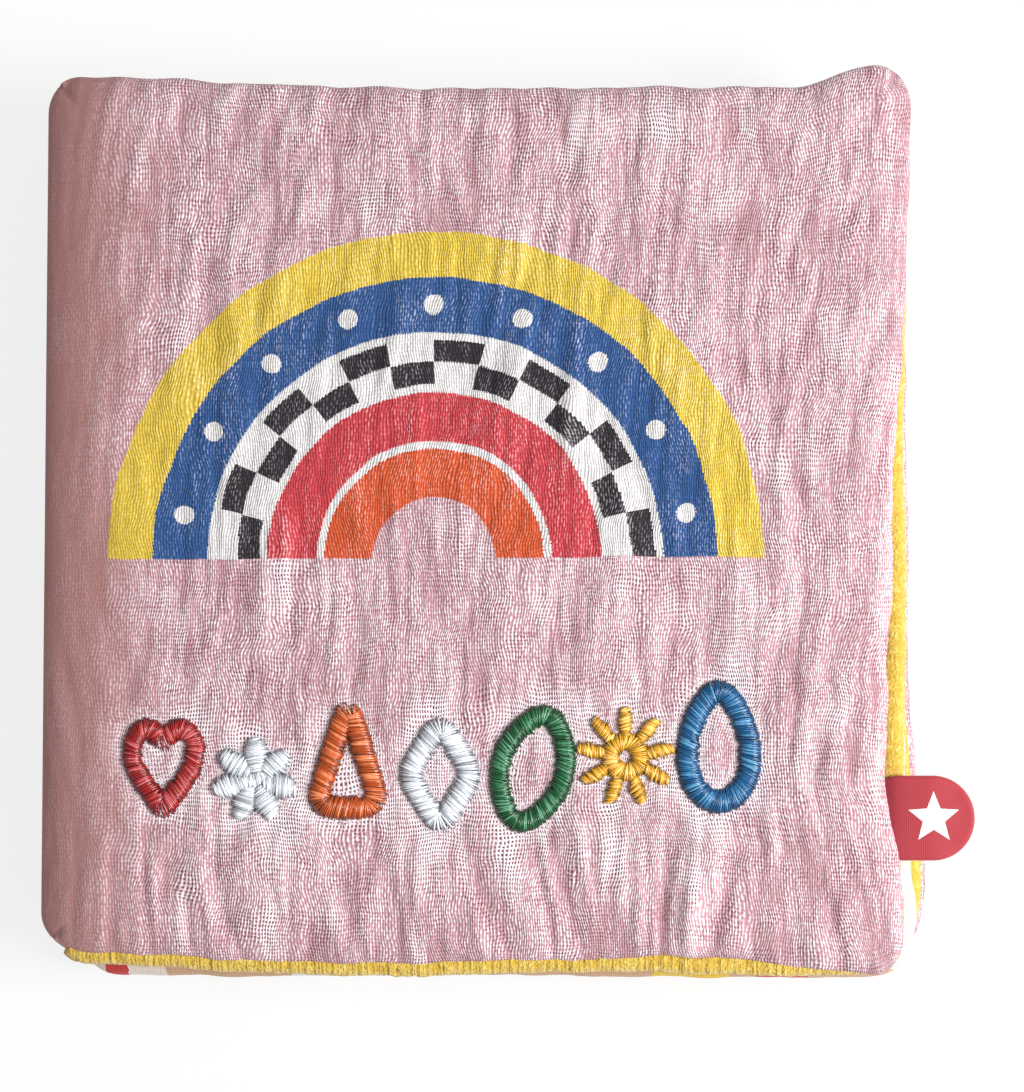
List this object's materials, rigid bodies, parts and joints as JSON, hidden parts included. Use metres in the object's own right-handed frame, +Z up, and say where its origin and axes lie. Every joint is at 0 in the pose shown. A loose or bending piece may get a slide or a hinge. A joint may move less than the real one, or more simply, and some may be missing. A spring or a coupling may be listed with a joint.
{
  "type": "padded cloth book",
  "caption": "Soft square padded cloth book for a small child, with crinkled gauze covers that open, padded leaves, a printed rainbow, stitched shapes and a label tab.",
  "frame": {"origin": "middle of the flat face that the back cover rests on", "axes": "+X from the spine to the fore-edge, +Y from tail to head, +Z up out of the front cover"},
  "size_m": [0.1612, 0.1542, 0.028],
  "materials": {
    "gauze": "crinkled, open weave",
    "lining": "brushed",
    "leaves": "smooth cotton",
    "tab": "woven tape",
    "red_thread": "silky",
    "white_thread": "silky",
    "orange_thread": "silky",
    "green_thread": "silky",
    "yellow_thread": "silky",
    "blue_thread": "silky"
  },
  "bodies": {
    "pages": {"page_block": "leaves", "spine": "gauze"},
    "front_cover_half": {"front_cover": "gauze", "front_lining": "lining", "label_tab": "tab", "heart_stitching": "red_thread", "daisy_stitching": "white_thread", "triangle_stitching": "orange_thread", "diamond_stitching": "white_thread", "leaf_stitching": "green_thread", "sun_stitching": "yellow_thread", "drop_stitching": "blue_thread"},
    "back_cover_half": {"back_cover": "gauze", "back_lining": "lining"}
  },
  "joints": [
    {"name": "front_cover_hinge", "type": "hinge", "parent": "pages", "child": "front_cover_half", "pos_m": [-0.0754, 0, 0.02085], "axis": [0, -1, 0], "range_deg": [0, 180]},
    {"name": "back_cover_hinge", "type": "hinge", "parent": "pages", "child": "back_cover_half", "pos_m": [-0.0754, 0, 0.00615], "axis": [0, 1, 0], "range_deg": [0, 180]}
  ]
}
